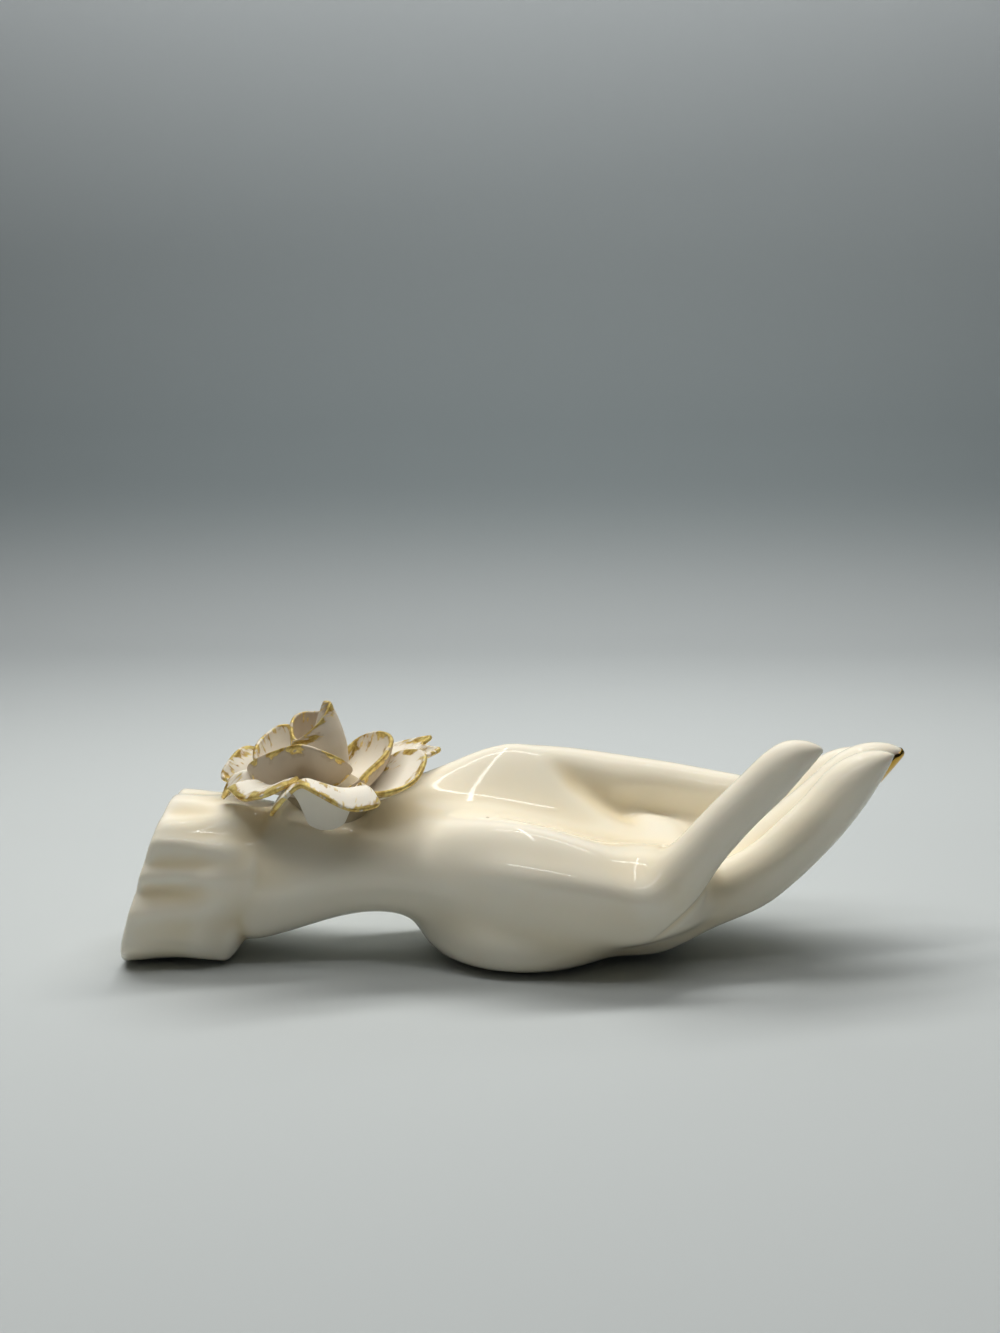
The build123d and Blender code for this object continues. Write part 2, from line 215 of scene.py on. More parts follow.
# Bearing of each fold in degrees (0 far, 90 up, 180 near), its depth at the rim and at the gather
FOLDS = [(100, 0.6, 1.5), (119, 2.2, 0.4), (138, 1.2, 2.3), (159, 3.2, 1.6), (181, 3.6, 0.3),
         (206, 0.4, 1.0), (228, 0.8, 0.0), (252, 0.0, 0.7), (272, 0.5, 0.2), (292, 0.2, 1.2),
         (314, 1.9, 0.4), (336, 1.0, 2.0), (357, 3.0, 0.6), (19, 1.2, 2.1), (40, 2.7, 0.5),
         (60, 0.8, 1.8), (80, 1.7, 0.4)]
# Shares of the way from gather to rim between which the rim's folds grow and the gather's die out
RIM_FOLDS = (0.1, 0.95)
GATHER_FOLDS = (0.15, 0.85)


def smooth_step(value, low, high):
    """0 below low, 1 above high and an even S between."""
    share = np.clip((value - low) / (high - low), 0, 1)
    return share * share * (3 - 2 * share)


def fold_dip(angles, along):
    """How far the folds draw the sleeve in, at a share of the way from gather to rim."""
    dip = np.zeros_like(angles)
    for bearing, at_rim, at_gather in FOLDS:
        gap = (np.degrees(angles) - bearing + 180) % 360 - 180
        valley = np.cos(math.pi / 2 * np.clip(gap / FOLD_WIDTH, -1, 1)) ** 2
        rim_share = smooth_step(along, *RIM_FOLDS)
        gather_share = 1 - smooth_step(along, *GATHER_FOLDS)
        dip += valley * (at_rim * rim_share + at_gather * gather_share)
    return dip


deepest = fold_dip(np.radians(np.arange(360.0)), 1.0).max()
print("cuff:", len(FOLDS), "folds, at most", round(float(deepest), 2), "mm deep at the rim")

# %% Cuff rings
GATHER_X = -77.4
CUFF_LENGTH = 30.6
GATHER_LEAN = math.radians(8.0)
RIM_LEAN = math.radians(17.0)
CUFF_MIDDLE = 24.5
CUFF_HALF = 25.4
CUFF_FLAT_TOP = 0.925
CUFF_WAIST = 1.3
SQUARE_TOP, SQUARE_BOTTOM = 2.6, 3.6
# Half-width and half-height of the arm inside the cuff
FOREARM = (22.0, 19.5)
# Shares of the way from gather to rim that the round shoulder and the soft run-out take
SHOULDER_SHARE = 0.14
RUNOUT_SHARE = 0.42
# How far down a bearing points, 0 for level and 1 for straight down, where the shoulder takes over
UNDER_WRIST = (0.45, 0.95)
CUFF_STEPS = 360


def squared_oval(angles, half_width, half_height, squareness):
    """Points of an oval with flattened sides, as arrays across and up."""
    wide = np.abs(np.cos(angles) / half_width) ** squareness
    tall = np.abs(np.sin(angles) / half_height) ** squareness
    radius = (wide + tall) ** (-1 / squareness)
    return radius * np.cos(angles), radius * np.sin(angles)


def cuff_ring(along, across, up):
    """A ring in the cuff's leaning section plane, as points in millimetres."""
    lean = GATHER_LEAN + (RIM_LEAN - GATHER_LEAN) * along
    x = GATHER_X - CUFF_LENGTH * along + up * math.sin(lean)
    z = CUFF_MIDDLE + up * math.cos(lean)
    return np.stack([x, across, z], axis=1)


def outer_ring(angles, along):
    """The pleated outside at a share of the way from the gather to the rim."""
    waist = CUFF_WAIST * math.sin(math.pi * min(1.0, along)) ** 2
    half = CUFF_HALF - waist - fold_dip(angles, along)
    squareness = np.where(np.sin(angles) > 0, SQUARE_TOP, SQUARE_BOTTOM)
    across, up = squared_oval(angles, half, half, squareness)
    up = np.where(up > 0, CUFF_FLAT_TOP * up, up)
    # Under the wrist the sleeve ends in a round shoulder, and elsewhere it runs out softly
    under = smooth_step(-np.sin(angles), *UNDER_WRIST)
    shoulder = np.sin(math.pi / 2 * min(1.0, along / SHOULDER_SHARE))
    runout = smooth_step(along, 0.0, RUNOUT_SHARE)
    roll = under * shoulder + (1 - under) * runout
    inner_across, inner_up = FOREARM[0] * np.cos(angles), FOREARM[1] * np.sin(angles)
    return inner_across + (across - inner_across) * roll, inner_up + (up - inner_up) * roll


cuff_angles = np.linspace(0, 2 * math.pi, CUFF_STEPS, endpoint=False)
rim_across, rim_up = outer_ring(cuff_angles, 1.0)
print("rim:", np.ptp(rim_across).round(1), "mm wide and", np.ptp(rim_up).round(1), "mm high")

# %% Cuff band
LAST_RING, SLEEVE_RINGS = 0.97, 34
RING_SHARES = [0.0, 0.008, 0.02, 0.04, 0.07, 0.11,
               *np.linspace(SHOULDER_SHARE, LAST_RING, SLEEVE_RINGS)]
# Half-widths and half-heights of the bore and of its mouth at the rim
BORE = (18.0, 15.5)
MOUTH = (19.5, 19.5)
# Share of the way from the outside to the mouth, and place along the cuff, round the rim
RIM_ROLL = ((0.06, 0.99), (0.25, 1.0), (0.5, 1.003), (0.8, 1.0), (1.0, 0.985))
# The bore runs a little past the gather, into the wrist
PAST_GATHER = -0.06
BORE_SHARES = (0.85, 0.7, 0.55, 0.4, 0.2, 0.0, PAST_GATHER)
BORE_FLARE = (0.3, 1.0)
WAIST_FIT = 0.98


def closed_band(rings):
    """Faces between rings of equal length, joined end to end into a closed band."""
    count = len(rings[0])
    faces = []
    for i in range(len(rings)):
        low, high = i * count, (i + 1) % len(rings) * count
        faces += [(low + j, low + (j + 1) % count, high + (j + 1) % count, high + j)
                  for j in range(count)]
    return faces


bands = []
for along in RING_SHARES:
    bands.append(cuff_ring(along, *outer_ring(cuff_angles, along)))
mouth_across = MOUTH[0] * np.cos(cuff_angles)
mouth_up = MOUTH[1] * np.sin(cuff_angles)
for share, along in RIM_ROLL:
    across = rim_across + (mouth_across - rim_across) * share
    up = rim_up + (mouth_up - rim_up) * share
    bands.append(cuff_ring(along, across, up))
for along in BORE_SHARES:
    share = smooth_step(along, *BORE_FLARE)
    across = (BORE[0] + (MOUTH[0] - BORE[0]) * share) * np.cos(cuff_angles)
    up = (BORE[1] + (MOUTH[1] - BORE[1]) * share) * np.sin(cuff_angles)
    bands.append(cuff_ring(along, across, up))
waist_across = WAIST_FIT * FOREARM[0] * np.cos(cuff_angles)
waist_up = WAIST_FIT * FOREARM[1] * np.sin(cuff_angles)
bands.append(cuff_ring(PAST_GATHER, waist_across, waist_up))
cuff_mesh = bpy.data.meshes.new("cuff_band")
cuff_mesh.from_pydata([tuple(p) for p in np.concatenate(bands) * MM], [], closed_band(bands))
cuff_mesh.update()
print("cuff:", len(bands), "rings of", CUFF_STEPS, "points")

# %% [markdown]
# ## The glazed skin
# Palm, fingers, foot and cuff come out of the mould and the kiln under one coat of glaze, with
# no seam between them. Copies of their CAD meshes are put together with the cuff band and
# remeshed on a fine voxel grid, which welds them into one closed skin. Smoothing then does
# what wet glaze does: it takes off the voxel steps, fills the creases where the fingers are
# luted on, and leaves the round forms alone.

# %% Castings and slip
CAST_NODES = ("palm_and_wrist", "foot", "thumb", "index_finger", "middle_finger",
              "ring_finger", "little_finger")
# Middle and half-sizes of the lumps of slip that close the joints
SLIP = {"thumb_web": ((46.0, 24.5, 27.5), (23.0, 8.0, 5.0)),
        "foot_joint": ((-5.0, 0.0, 14.5), (27.0, 29.5, 8.0)),
        "little_root": ((34.0, -18.0, 30.0), (18.0, 13.0, 6.0))}
LUMP_DETAIL = 5


def joined_mesh(name, meshes):
    """One mesh holding copies of several."""
    points, faces = [], []
    for mesh in meshes:
        start = len(points)
        points += [v.co[:] for v in mesh.vertices]
        faces += [[start + i for i in p.vertices] for p in mesh.polygons]
    joined = bpy.data.meshes.new(name)
    joined.from_pydata(points, [], faces)
    return joined


def slip_lump(middle, radii):
    """A smooth lump of slip, as a mesh in metres."""
    lump = bmesh.new()
    bmesh.ops.create_icosphere(lump, subdivisions=LUMP_DETAIL, radius=1.0)
    for point in lump.verts:
        point.co = [MM * (m + r * c) for m, r, c in zip(middle, radii, point.co)]
    mesh = bpy.data.meshes.new("slip_lump")
    lump.to_mesh(mesh)
    lump.free()
    return mesh


castings = [nodes[n].data for n in CAST_NODES] + [cuff_mesh]
lumps = [slip_lump(*place) for place in SLIP.values()]
print("castings:", len(castings), "with", len(lumps), "lumps of slip between them")

# %% Weld the castings
VOXEL = 0.7
rough = bpy.data.objects.new("rough_casting", joined_mesh("rough_casting", castings + lumps))
bpy.context.scene.collection.objects.link(rough)
welder = rough.modifiers.new("weld", "REMESH")
welder.mode = "VOXEL"
welder.voxel_size = VOXEL * MM
skin_mesh = bpy.data.meshes.new_from_object(
    rough.evaluated_get(bpy.context.evaluated_depsgraph_get()))
skin_mesh.name = "glazed_hand"
bpy.data.objects.remove(rough)
print("welded skin:", len(skin_mesh.vertices), "points")


# %% Skin helpers
def mesh_points(mesh):
    """A mesh's points in millimetres."""
    flat = np.empty(len(mesh.vertices) * 3)
    mesh.vertices.foreach_get("co", flat)
    return flat.reshape(-1, 3) / MM


def set_points(mesh, points):
    """Move a mesh's points to places in millimetres."""
    mesh.vertices.foreach_set("co", (points * MM).ravel())
    mesh.update()


def point_normals(mesh):
    """The outward direction at each point."""
    flat = np.empty(len(mesh.vertices) * 3)
    mesh.vertex_normals.foreach_get("vector", flat)
    return flat.reshape(-1, 3)


class Neighbours:
    """The edges of a mesh, for averaging each point's neighbours."""

    def __init__(self, mesh):
        pairs = np.empty(len(mesh.edges) * 2, dtype=np.int64)
        mesh.edges.foreach_get("vertices", pairs)
        self.a, self.b = pairs.reshape(-1, 2).T
        self.size = len(mesh.vertices)
        self.degree = np.bincount(pairs, minlength=self.size)

    def pull(self, points):
        """From each point to the mean of its neighbours."""
        total = np.stack([
            np.bincount(self.a, points[self.b, k], self.size)
            + np.bincount(self.b, points[self.a, k], self.size) for k in range(3)], axis=1)
        return total / self.degree[:, None] - points


def between(x, start, end):
    """1 along a run in x and 0 outside it, with a soft start and end."""
    return smooth_step(x, *start) * (1 - smooth_step(x, *end))


net = Neighbours(skin_mesh)
print("skin net:", len(net.a), "edges")

# %% Smooth the skin
STEP_ROUNDS = 14
FILL_ROUNDS, FILL_STEPS = 16, 14
SPONGE_ROUNDS = 150
PULL_IN, PUSH_OUT = 0.5, 0.52
# The glaze softens the hand from behind the cuff to the finger roots, and not between the fingers
SOFT_START, SOFT_END = (-62, -50), (59, 71)


def take_off_steps(points, rounds):
    """Smooth inwards and then a little further outwards, which keeps the volume."""
    for _ in range(rounds):
        points = points + PULL_IN * net.pull(points)
        points = points - PUSH_OUT * net.pull(points)
    return points


skin = take_off_steps(mesh_points(skin_mesh), STEP_ROUNDS)
softness = between(skin[:, 0], SOFT_START, SOFT_END)
# Glaze pools in the creases round the finger roots and the foot
for _ in range(FILL_ROUNDS):
    set_points(skin_mesh, skin)
    normals = point_normals(skin_mesh)
    for _ in range(FILL_STEPS):
        outward = np.einsum("ij,ij->i", net.pull(skin), normals)
        skin += normals * (PULL_IN * softness * np.maximum(outward, 0))[:, None]
# The dish is sponged smooth before firing, so its floor and rims have no edge left
for _ in range(SPONGE_ROUNDS):
    skin += PULL_IN * softness[:, None] * net.pull(skin)
set_points(skin_mesh, skin)
print("softened points:", int((softness > 0).sum()))

# %% [markdown]
# ## Four touches of the modelling tool
# A modeller corrects a casting by hand before it is glazed. Here the tool goes out at the near
# shoulder and in at the dish's far corner, draws a shallow line where the little finger parts
# from its neighbour, and lifts the underside of the knuckles. Each touch is a soft field over
# the points, so it leaves no edge.

# %% Touches
SHOULDER_OUT = 2.2
CORNER_IN = 2.3
ROOT_LINE_IN = 0.7
KNUCKLES_UP = 2.4
LAST_ROUNDS = 10
# A round touch has a middle in y and z, a climb along x, a squared reach, and a run along x
NEAR_SHOULDER = (-35.0, 31.5, -0.17, 32.0, (-45, -15), (30, 42))
FAR_CORNER = (17.0, 59.0, -0.75, 40.0, (4, 16), (30, 40))
ROOT_X, ROOT_Z = (30, 47, 54), (9.5, 24.4, 32.0)
ROOT_WIDTH = 1.3
ROOT_NEAR = -12
ROOT_RUN = (32, 40), (52, 56)
UNDERSIDE_X = (40, 44, 51, 60, 69, 80)
UNDERSIDE_Z = (4.0, 5.5, 8.7, 12.0, 17.7, 25.0)
KNUCKLE_X, KNUCKLE_REACH = 52, 10
KNUCKLE_FADE = (1, 11)


def round_touch(points, y, z, climb, square, start, end):
    """How strongly a round touch reaches each point, from 0 to 1."""
    px, py, pz = points.T
    off = (py - y) ** 2 + (pz - z - climb * px) ** 2
    return np.exp(-off / square) * between(px, start, end)


normals = point_normals(skin_mesh)
x, y, z = skin.T
shoulder = round_touch(skin, *NEAR_SHOULDER)
# Both faces of the wall move the same way, so the wall keeps its thickness
corner = round_touch(skin, *FAR_CORNER) * np.sign(normals[:, 2])
above_root = (z - np.interp(x, ROOT_X, ROOT_Z)) / ROOT_WIDTH
root_line = np.exp(-above_root ** 2) * (y < ROOT_NEAR) * between(x, *ROOT_RUN)
above_underside = z - np.interp(x, UNDERSIDE_X, UNDERSIDE_Z)
along_knuckles = np.exp(-((x - KNUCKLE_X) / KNUCKLE_REACH) ** 2)
knuckles = along_knuckles * (1 - smooth_step(above_underside, *KNUCKLE_FADE))
outward = SHOULDER_OUT * shoulder - CORNER_IN * corner - ROOT_LINE_IN * root_line
skin += normals * outward[:, None]
skin[:, 2] += KNUCKLES_UP * knuckles
skin = take_off_steps(skin, LAST_ROUNDS)
skin[:, 2] = np.maximum(skin[:, 2], 0)
set_points(skin_mesh, skin)
print("touches: out by", outward.max().round(2), "and in by", -outward.min().round(2), "mm at most")

# %% The skin as a piece
skin_mesh.shade_smooth()
hand = bpy.data.objects.new("glazed_hand", skin_mesh)
bpy.context.scene.collection.objects.link(hand)
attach(hand, "root")
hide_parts(*CAST_NODES, "ruffled_cuff")
print("skin spans", skin.min(0).round(1), "to", skin.max(0).round(1))

# %% [markdown]
# ## Ivory glaze
# The hand is earthenware under a clear, faintly cream glaze, fired glossy. To the eye it is an
# ivory body with sharp streaks of light, a trace of orange peel and a warmer tone where the
# glaze pooled in the hollows. The hollows are measured on the mesh itself and kept as a
# number on each point, which the shader reads.

# %% Measure the hollows
POOL_ROUNDS = 60
spread = skin.copy()
for _ in range(POOL_ROUNDS):
    spread += PULL_IN * net.pull(spread)
pooling = np.einsum("ij,ij->i", spread - skin, point_normals(skin_mesh))
pooled = skin_mesh.attributes.new("pooling", "FLOAT", "POINT")
pooled.data.foreach_set("value", pooling.astype(np.float32))
print("pooling from", pooling.min().round(2), "to", pooling.max().round(2), "mm")

# %% Glaze colour
# Glass over pale clay: a sharp gloss, and a body that lets a little light in
glaze, tree, shader = new_finish("ivory_earthenware_glaze")
CLOUD_SIZE = 45.0
POOL_WEIGHT = 0.9
WARM_FROM, WARM_TO = 0.1, 1.2
depth = put(tree, "ShaderNodeAttribute", attribute_name="pooling").outputs["Fac"]
where = put(tree, "ShaderNodeTexCoord").outputs["Object"]
cloud = put(tree, "ShaderNodeTexNoise", {"Vector": where, "Scale": 1 / (CLOUD_SIZE * MM),
                                         "Detail": 3.0}).outputs[0]
uneven = put(tree, "ShaderNodeMath", {0: depth, 1: POOL_WEIGHT, 2: cloud},
             operation="MULTIPLY_ADD").outputs[0]
warmth = put(tree, "ShaderNodeMapRange", {0: uneven, 1: WARM_FROM, 2: WARM_TO, 3: 0.0, 4: 1.0},
             interpolation_type="SMOOTHSTEP").outputs[0]
body = put(tree, "ShaderNodeMix", {0: warmth, 6: linear("#f3ecda"), 7: linear("#ebdbb6")},
           data_type="RGBA").outputs[2]
print("glaze: warmer in clouds of", CLOUD_SIZE, "mm")

# %% Pinhole
# One pinhole in the glaze, on the slope of the dish. The skin has no dent there: its dark spot is
# painted shade inside the hole.
PIT_PLACE = (-10.8, -13.7, 42.8)
PIT_SIZE, PIT_CORE = 0.7, 0.28
PIT_DRAWN = (1.0, 0.35, 1.0)
PIT_SHADE = 0.8
away = put(tree, "ShaderNodeVectorMath", {0: where, 1: [MM * v for v in PIT_PLACE]},
           operation="SUBTRACT").outputs[0]
drawn = put(tree, "ShaderNodeVectorMath", {0: away, 1: PIT_DRAWN}, operation="MULTIPLY").outputs[0]
from_pit = put(tree, "ShaderNodeVectorMath", {0: drawn}, operation="LENGTH").outputs["Value"]
pit = put(tree, "ShaderNodeMapRange", {
    0: from_pit, 1: PIT_CORE * MM, 2: PIT_SIZE * MM, 3: PIT_SHADE, 4: 0.0}).outputs[0]
body = put(tree, "ShaderNodeMix", {0: pit, 6: body, 7: linear("#857c68")}, data_type="RGBA").outputs[2]
tree.links.new(body, shader.inputs["Base Color"])
print("pinhole:", 2 * PIT_SIZE, "mm wide at", PIT_PLACE)

# %% Glaze gloss
PEEL_SIZE = 5.0
peel = put(tree, "ShaderNodeTexNoise", {"Vector": where, "Scale": 1 / (PEEL_SIZE * MM),
                                        "Detail": 1.0}).outputs[0]
bump = put(tree, "ShaderNodeBump", {"Strength": 0.05, "Distance": 0.0004, "Height": peel})
tree.links.new(bump.outputs[0], shader.inputs["Normal"])
shader.inputs["Roughness"].default_value = 0.07
shader.inputs["IOR"].default_value = 1.5
shader.inputs["Subsurface Weight"].default_value = 0.12
shader.inputs["Subsurface Radius"].default_value = (1.0, 0.7, 0.45)
shader.inputs["Subsurface Scale"].default_value = 0.0025
skin_mesh.materials.clear()
skin_mesh.materials.append(glaze)
print("finish:", glaze.name)

# %% [markdown]
# ## Gold lustre
# Lustre is a resin with gold in it, brushed over the fired glaze and fired again. What stays is
# a film of real gold: fully metallic, smooth where it lies thick and brown where the brush left
# it thin. The nails carry it all over, so they get one plain gold with faint brush marks.

# %% Gold finish
gold, tree, shader = new_finish("gold_lustre")
BRUSH_MARK = 1.5
where = put(tree, "ShaderNodeTexCoord").outputs["Object"]
marks = put(tree, "ShaderNodeTexNoise", {"Vector": where, "Scale": 1 / (BRUSH_MARK * MM),
                                         "Detail": 4.0}).outputs[0]
tone = put(tree, "ShaderNodeMix", {0: marks, 6: linear("#b98a2c"), 7: linear("#e2bf5f")},
           data_type="RGBA").outputs[2]
tree.links.new(tone, shader.inputs["Base Color"])
rough_film = put(tree, "ShaderNodeMapRange", {0: marks, 1: 0.3, 2: 0.7, 3: 0.14, 4: 0.3}).outputs[0]
tree.links.new(rough_film, shader.inputs["Roughness"])
shader.inputs["Metallic"].default_value = 1.0
print("finish:", gold.name)

# %% [markdown]
# ## Nails
# Each nail is a thin gilded plate on the back of a fingertip. The CAD node says where it lies
# and how long and wide it is. Its three main directions come from the spread of its points.
# Rays from outside then find the glazed skin under it, so the plate follows the finger exactly.

# %% Skin under a nail
RAY_START, RAY_LENGTH = 8, 14
skin_faces = [p.vertices[:] for p in skin_mesh.polygons]
hand_tree = BVHTree.FromPolygons([tuple(p) for p in skin], skin_faces)


def nail_axes(node):
    """A nail's middle, its lengthwise and crosswise half-axes and its outward direction."""
    points = mesh_points(node.data)
    middle = (points.min(0) + points.max(0)) / 2
    along, across, out = np.linalg.svd(points - points.mean(0), full_matrices=False)[2]
    if np.dot(out, np.array(hand_tree.find_nearest(middle)[1])) < 0:
        out = -out
    if max(along[0], along[2], key=abs) < 0:
        along = -along
    if across[1] < 0:
        across = -across
    reach = np.abs((points - middle) @ along).max()
    width = np.abs((points - middle) @ across).max()
    return middle, along * reach, across * width, out


def on_skin(point, out):
    """The skin's place straight under a point, and its normal."""
    hit, normal, _, _ = hand_tree.ray_cast(Vector(point + out * RAY_START), Vector(-out), RAY_LENGTH)
    if hit is None:
        hit, normal, _, _ = hand_tree.find_nearest(Vector(point))
    return np.array(hit), np.array(normal)


print("skin tree:", len(skin_faces), "faces")

# %% Nail plate
NAIL_LIFT = 0.35
NAIL_DIVE = 0.3
NAIL_DIVE_FROM = 0.72
NAIL_SINK = 0.5
NAIL_LENGTH = 0.97
NAIL_RINGS = 14
NAIL_STEPS = 56


def nail_mesh(name, node, width, shift):
    """A plate that follows the skin and dives under it along its border."""
    middle, along, across, out = nail_axes(node)
    middle = middle + across / np.linalg.norm(across) * shift
    upper, lower = [], []
    for ring in range(NAIL_RINGS + 1):
        share = ring / NAIL_RINGS
        lift = NAIL_LIFT - (NAIL_LIFT + NAIL_DIVE) * smooth_step(share, NAIL_DIVE_FROM, 1.0)
        for step in range(NAIL_STEPS):
            turn = 2 * math.pi * step / NAIL_STEPS
            oval = NAIL_LENGTH * math.cos(turn) * along + width * math.sin(turn) * across
            skin_spot, normal = on_skin(middle + share * oval, out)
            upper.append(skin_spot + normal * lift)
            lower.append(skin_spot - normal * NAIL_SINK)
    count = len(upper)
    faces = []
    for ring in range(NAIL_RINGS):
        for step in range(NAIL_STEPS):
            a, b = ring * NAIL_STEPS + step, ring * NAIL_STEPS + (step + 1) % NAIL_STEPS
            c, d = b + NAIL_STEPS, a + NAIL_STEPS
            faces += [(a, b, c, d), (d + count, c + count, b + count, a + count)]
    last = NAIL_RINGS * NAIL_STEPS
    for step in range(NAIL_STEPS):
        a, b = last + step, last + (step + 1) % NAIL_STEPS
        faces.append((a, b, b + count, a + count))
    mesh = bpy.data.meshes.new(name)
    mesh.from_pydata([tuple(p) for p in np.array(upper + lower) * MM], [], faces)
    mesh.validate()
    mesh.shade_smooth()
    return mesh


print("nail plates:", NAIL_RINGS, "rings of", NAIL_STEPS, "points on each face")

# %% Nails
# Width against the CAD nail, and shift towards the far side in millimetres
NAIL_FIT = {"thumb": (0.9, 0.0), "index": (0.9, 0.0), "middle": (1.25, 0.0),
            "ring": (0.6, 2.2), "little": (0.6, 2.2)}
for digit, (width, shift) in NAIL_FIT.items():
    name = f"gilded_{digit}_nail"
    mesh = nail_mesh(name, nodes[f"{digit}_nail"], width, shift)
    mesh.materials.append(gold)
    nail = bpy.data.objects.new(name, mesh)
    bpy.context.scene.collection.objects.link(nail)
    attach(nail, "root")
    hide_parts(f"{digit}_nail")

# %% [markdown]
# ## Gilded porcelain petals
# The rose is modelled by hand from thin pressed petals in a whiter, satin clay. Gold lustre is
# brushed along the edges, and dry strokes of it run inward as brown and yellow streaks. Each
# point of a petal knows three lengths in millimetres: across the petal, along it, and to the
# nearest edge. The shader paints the gold from those, so the brush follows every petal.

# %% Brush marks
petal_finish, tree, shader = new_finish("gilded_satin_porcelain")
STROKE_WIDTH = 1.1
STROKE_LENGTH = 7.0
PATCH_SIZE = 5.0
SHEEN_SIZE = 2.6
blade = put(tree, "ShaderNodeAttribute", attribute_name="blade").outputs["Vector"]
inside = put(tree, "ShaderNodeAttribute", attribute_name="inner_face").outputs["Fac"]
# Tint of painted shade and warm bounced light, stored on each petal face
painted_shade = put(tree, "ShaderNodeAttribute", attribute_name="painted_shade").outputs["Fac"]
edge = put(tree, "ShaderNodeSeparateXYZ", {0: blade}).outputs["Z"]
bristles = put(tree, "ShaderNodeMapping", {
    "Vector": blade, "Scale": (1 / STROKE_WIDTH, 1 / STROKE_LENGTH, 1 / STROKE_LENGTH)}).outputs[0]
strokes = put(tree, "ShaderNodeTexNoise", {
    "Vector": bristles, "Scale": 1.0, "Detail": 3.0, "Roughness": 0.6,
    "Distortion": 0.5}).outputs[0]
patches = put(tree, "ShaderNodeTexNoise", {
    "Vector": blade, "Scale": 1 / PATCH_SIZE, "Detail": 2.0}).outputs[0]
sheen = put(tree, "ShaderNodeTexNoise", {
    "Vector": blade, "Scale": 1 / SHEEN_SIZE, "Detail": 3.0, "Roughness": 0.6}).outputs[0]
print("brush marks:", STROKE_WIDTH, "mm wide and", STROKE_LENGTH, "mm long")

# %% Gilding
# Least and greatest width of the band of gold in millimetres; below zero there is none
OUTER_BAND = (-1.5, 3.0)
INNER_BAND = (-1.8, 3.2)
BAND_SOFT = (-0.15, 0.2)
STREAK_RUN = (0.5, 8.0)
HAZE_WIDTH = 1.6
# The brush wraps a band of gold round the edge, wide outside and ragged inside
outer_reach = put(tree, "ShaderNodeMapRange", {
    0: patches, 1: 0.35, 2: 0.65, 3: OUTER_BAND[0], 4: OUTER_BAND[1]}).outputs[0]
inner_reach = put(tree, "ShaderNodeMapRange", {
    0: patches, 1: 0.4, 2: 0.66, 3: INNER_BAND[0], 4: INNER_BAND[1]}).outputs[0]
brushed = put(tree, "ShaderNodeMix", {0: inside, 2: outer_reach, 3: inner_reach}).outputs[0]
gild = put(tree, "ShaderNodeAttribute", attribute_name="gild").outputs["Fac"]
reach = put(tree, "ShaderNodeMath", {0: brushed, 1: gild}, operation="ADD").outputs[0]
past = put(tree, "ShaderNodeMath", {0: edge, 1: reach}, operation="SUBTRACT").outputs[0]
band = put(tree, "ShaderNodeMapRange", {
    0: past, 1: BAND_SOFT[0], 2: BAND_SOFT[1], 3: 1.0, 4: 0.0}).outputs[0]
# A nearly dry brush leaves a few streaks that run inward from the band
dry = put(tree, "ShaderNodeMapRange", {
    0: edge, 1: STREAK_RUN[0], 2: STREAK_RUN[1], 3: 0.2, 4: -0.1}).outputs[0]
wet = put(tree, "ShaderNodeMath", {0: strokes, 1: dry}, operation="ADD").outputs[0]
laden = put(tree, "ShaderNodeMath", {0: patches, 1: 0.8, 2: wet}, operation="MULTIPLY_ADD").outputs[0]
streak = put(tree, "ShaderNodeMapRange", {0: laden, 1: 1.06, 2: 1.16, 3: 0.0, 4: 0.9}).outputs[0]
streak_inside = put(tree, "ShaderNodeMath", {0: streak, 1: inside}, operation="MULTIPLY").outputs[0]
gilt = put(tree, "ShaderNodeMath", {0: band, 1: streak_inside}, operation="MAXIMUM").outputs[0]
# Thin lustre fires to a brown haze beside the gold
haze = put(tree, "ShaderNodeMapRange", {0: past, 1: 0.0, 2: HAZE_WIDTH, 3: 0.75, 4: 0.0}).outputs[0]
broken_haze = put(tree, "ShaderNodeMath", {0: haze, 1: strokes}, operation="MULTIPLY").outputs[0]
lustre = put(tree, "ShaderNodeMapRange", {0: sheen, 1: 0.3, 2: 0.62, 3: 0.0, 4: 1.0}).outputs[0]
print("gilding: a band up to", OUTER_BAND[1], "mm wide, dry streaks and a haze of", HAZE_WIDTH, "mm")

# %% Petal finish
# Unglazed porcelain is satin and lets a little light in; thin gold on it is half metal to the eye. The
# taupe tint mixed into the clay is painted shade and warm bounced light, set per petal and face; it is
# strongest on the outer faces of the inner petals and on the bud and its wrap.
clay = put(tree, "ShaderNodeMix", {0: painted_shade, 6: linear("#f3eddf"), 7: linear("#b9a384")},
           data_type="RGBA").outputs[2]
stained = put(tree, "ShaderNodeMix", {0: broken_haze, 6: clay, 7: linear("#94703a")},
              data_type="RGBA").outputs[2]
film = put(tree, "ShaderNodeMix", {0: lustre, 6: linear("#b98d3c"), 7: linear("#f7e08c")},
           data_type="RGBA").outputs[2]
tone = put(tree, "ShaderNodeMix", {0: gilt, 6: stained, 7: film}, data_type="RGBA").outputs[2]
tree.links.new(tone, shader.inputs["Base Color"])
metal = put(tree, "ShaderNodeMath", {0: gilt, 1: 0.5}, operation="MULTIPLY").outputs[0]
tree.links.new(metal, shader.inputs["Metallic"])
satin = put(tree, "ShaderNodeMapRange", {0: gilt, 1: 0.0, 2: 1.0, 3: 0.45, 4: 0.32}).outputs[0]
tree.links.new(satin, shader.inputs["Roughness"])
ridge = put(tree, "ShaderNodeBump", {"Strength": 0.2, "Distance": 0.0002, "Height": strokes})
tree.links.new(ridge.outputs[0], shader.inputs["Normal"])
shader.inputs["Subsurface Weight"].default_value = 0.1
shader.inputs["Subsurface Radius"].default_value = (1.0, 0.75, 0.5)
shader.inputs["Subsurface Scale"].default_value = 0.0015
print("finish:", petal_finish.name)

